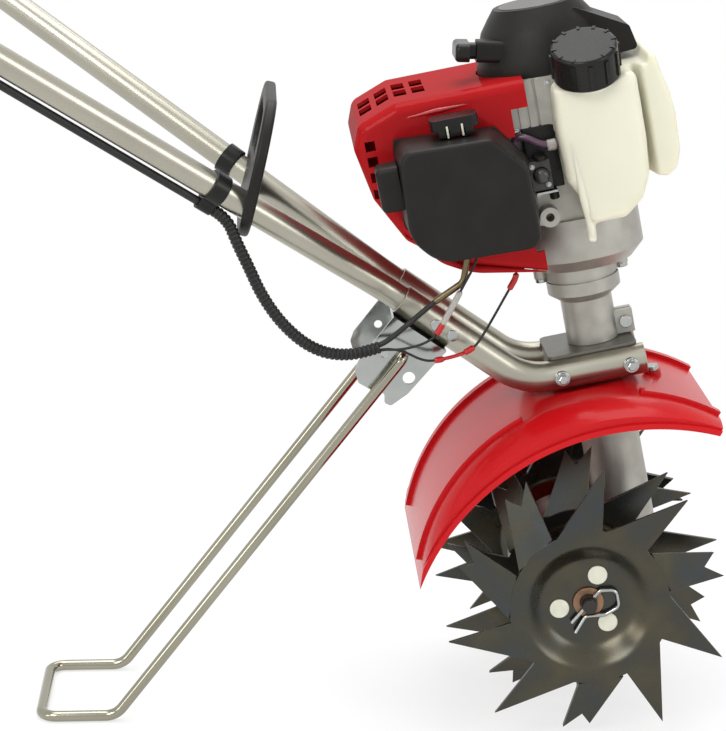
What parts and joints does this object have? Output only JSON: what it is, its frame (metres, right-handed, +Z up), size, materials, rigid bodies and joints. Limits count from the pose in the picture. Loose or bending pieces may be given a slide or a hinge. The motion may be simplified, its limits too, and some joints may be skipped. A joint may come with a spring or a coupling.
{
  "type": "mini tiller",
  "caption": "Small petrol garden tiller: splayed tube handles, upright engine on a worm gearbox, star tines under an arched fender and a folding wire stand.",
  "frame": {"origin": "on the floor, under the middle of the machine's bounding box", "axes": "+X forward, away from the handles; +Y to the machine's left; +Z up from the floor"},
  "size_m": [0.949, 0.4252, 0.6686],
  "materials": {
    "red_plastic": "gloss red moulding",
    "red_steel": "gloss red paint",
    "black_plastic": "finely textured black",
    "switch_red": "red",
    "tank_plastic": "milky",
    "cast_aluminium": "as cast",
    "tube_steel": "satin nickel",
    "zinc_steel": "bright zinc",
    "dark_steel": "oil-blackened",
    "hub_steel": "bare, browned",
    "machined_steel": "machined",
    "bronze": "bare",
    "foam": "closed-cell foam",
    "rubber_black": "black",
    "fuel_hose": "tinted",
    "primer_clear": "clear"
  },
  "bodies": {
    "frame": {"gear_housing": "cast_aluminium", "gear_cover": "cast_aluminium", "bearings": "machined_steel", "clutch_housing": "cast_aluminium", "crankcase": "cast_aluminium", "cylinder": "cast_aluminium", "spark_plug": "zinc_steel", "engine_cover": "red_plastic", "muffler": "dark_steel", "muffler_guard": "black_plastic", "recoil_cover": "black_plastic", "fuel_tank": "tank_plastic", "fuel_line": "fuel_hose", "carburettor": "cast_aluminium", "air_cleaner_base": "black_plastic", "air_filter": "foam", "fender": "red_steel", "stand_bracket": "zinc_steel", "handle_bracket": "zinc_steel", "lower_handle_right": "tube_steel", "lower_handle_left": "tube_steel", "upper_handle_right": "tube_steel", "upper_handle_left": "tube_steel", "grip_right": "foam", "grip_left": "foam", "carry_handle": "black_plastic", "throttle_housing": "black_plastic", "cable_sheath": "rubber_black", "cable_conduit": "rubber_black", "cable_straps": "black_plastic", "throttle_cable": "rubber_black", "cable_elbow": "bronze", "stop_wires": "rubber_black", "fasteners": "zinc_steel"},
    "tine_set": {"axle": "hub_steel", "worm_wheel": "bronze", "tine_outer_right": "dark_steel", "tine_inner_right": "dark_steel", "tine_inner_left": "dark_steel", "tine_outer_left": "dark_steel", "tine_hubs": "hub_steel", "tine_rivets": "zinc_steel", "hairpin_clips": "zinc_steel"},
    "drive_shaft": {"worm_shaft": "machined_steel", "clutch_drum": "machined_steel"},
    "crank": {"crankshaft": "machined_steel", "flywheel": "cast_aluminium", "clutch_shoes": "machined_steel"},
    "reel": {"recoil_reel": "black_plastic"},
    "starter": {"starter_grip": "black_plastic", "starter_rope": "rubber_black"},
    "trigger": {"throttle_trigger": "black_plastic"},
    "switch": {"stop_switch": "switch_red"},
    "choke": {"choke_lever": "black_plastic"},
    "primer": {"primer_bulb": "primer_clear"},
    "cap": {"fuel_cap": "black_plastic"},
    "cleaner_cover": {"air_cleaner_cover": "black_plastic"},
    "latch": {"air_cleaner_latch": "black_plastic"},
    "stand": {"kickstand": "zinc_steel"}
  },
  "joints": [
    {"name": "tine_spin", "type": "hinge", "parent": "frame", "child": "tine_set", "pos_m": [0.35413, 0, 0.103], "axis": [0, 1, 0], "continuous": true},
    {"name": "worm_spin", "type": "hinge", "parent": "frame", "child": "drive_shaft", "pos_m": [0.39732, 0, 0.1114], "axis": [-0.1908, 0, 0.9816], "continuous": true},
    {"name": "crank_spin", "type": "hinge", "parent": "frame", "child": "crank", "pos_m": [0.39732, 0, 0.1114], "axis": [-0.1908, 0, 0.9816], "continuous": true},
    {"name": "starter_pull", "type": "slide", "parent": "frame", "child": "starter", "axis": [-0.9998, 0, 0.0175], "range_m": [0, 0.5], "stiffness_N_per_m": 15, "springref_m": -0.03},
    {"name": "reel_turn", "type": "hinge", "parent": "frame", "child": "reel", "pos_m": [0.39732, 0, 0.1114], "axis": [0.1908, 0, -0.9816], "range_deg": [0, 1103]},
    {"name": "throttle_squeeze", "type": "hinge", "parent": "frame", "child": "trigger", "pos_m": [-0.32965, -0.19664, 0.63115], "axis": [0, 1, 0], "range_deg": [0, 11], "stiffness_Nm_per_rad": 0.3, "springref_deg": -2.86},
    {"name": "switch_slide", "type": "slide", "parent": "frame", "child": "switch", "axis": [0.9998, 0, -0.0175], "range_m": [0, 0.005]},
    {"name": "choke_turn", "type": "hinge", "parent": "frame", "child": "choke", "pos_m": [0.31778, -0.05, 0.41581], "axis": [0.1908, 0, -0.9816], "range_deg": [0, 45]},
    {"name": "primer_press", "type": "slide", "parent": "frame", "child": "primer", "axis": [0, 1, 0], "range_m": [0, 0.004], "stiffness_N_per_m": 200},
    {"name": "cap_turn", "type": "hinge", "parent": "frame", "child": "cap", "pos_m": [0.34878, -0.062, 0.47379], "axis": [-0.1743, -0.4067, 0.8968], "range_deg": [0, 360]},
    {"name": "cleaner_cover_off", "type": "slide", "parent": "frame", "child": "cleaner_cover", "axis": [0, -1, 0], "range_m": [0, 0.05]},
    {"name": "latch_lift", "type": "hinge", "parent": "frame", "child": "latch", "pos_m": [0.25425, -0.066, 0.4544], "axis": [-0.9816, 0, -0.1908], "range_deg": [0, 50], "stiffness_Nm_per_rad": 0.01},
    {"name": "stand_fold", "type": "hinge", "parent": "frame", "child": "stand", "pos_m": [0.22449, 0, 0.27234], "axis": [0, 1, 0], "range_deg": [0, 80]}
  ],
  "couplings": [
    {"joint": "worm_spin", "follows": "tine_spin", "ratio": 34},
    {"joint": "reel_turn", "follows": "starter_pull", "rad_per_m": 38.462}
  ]
}
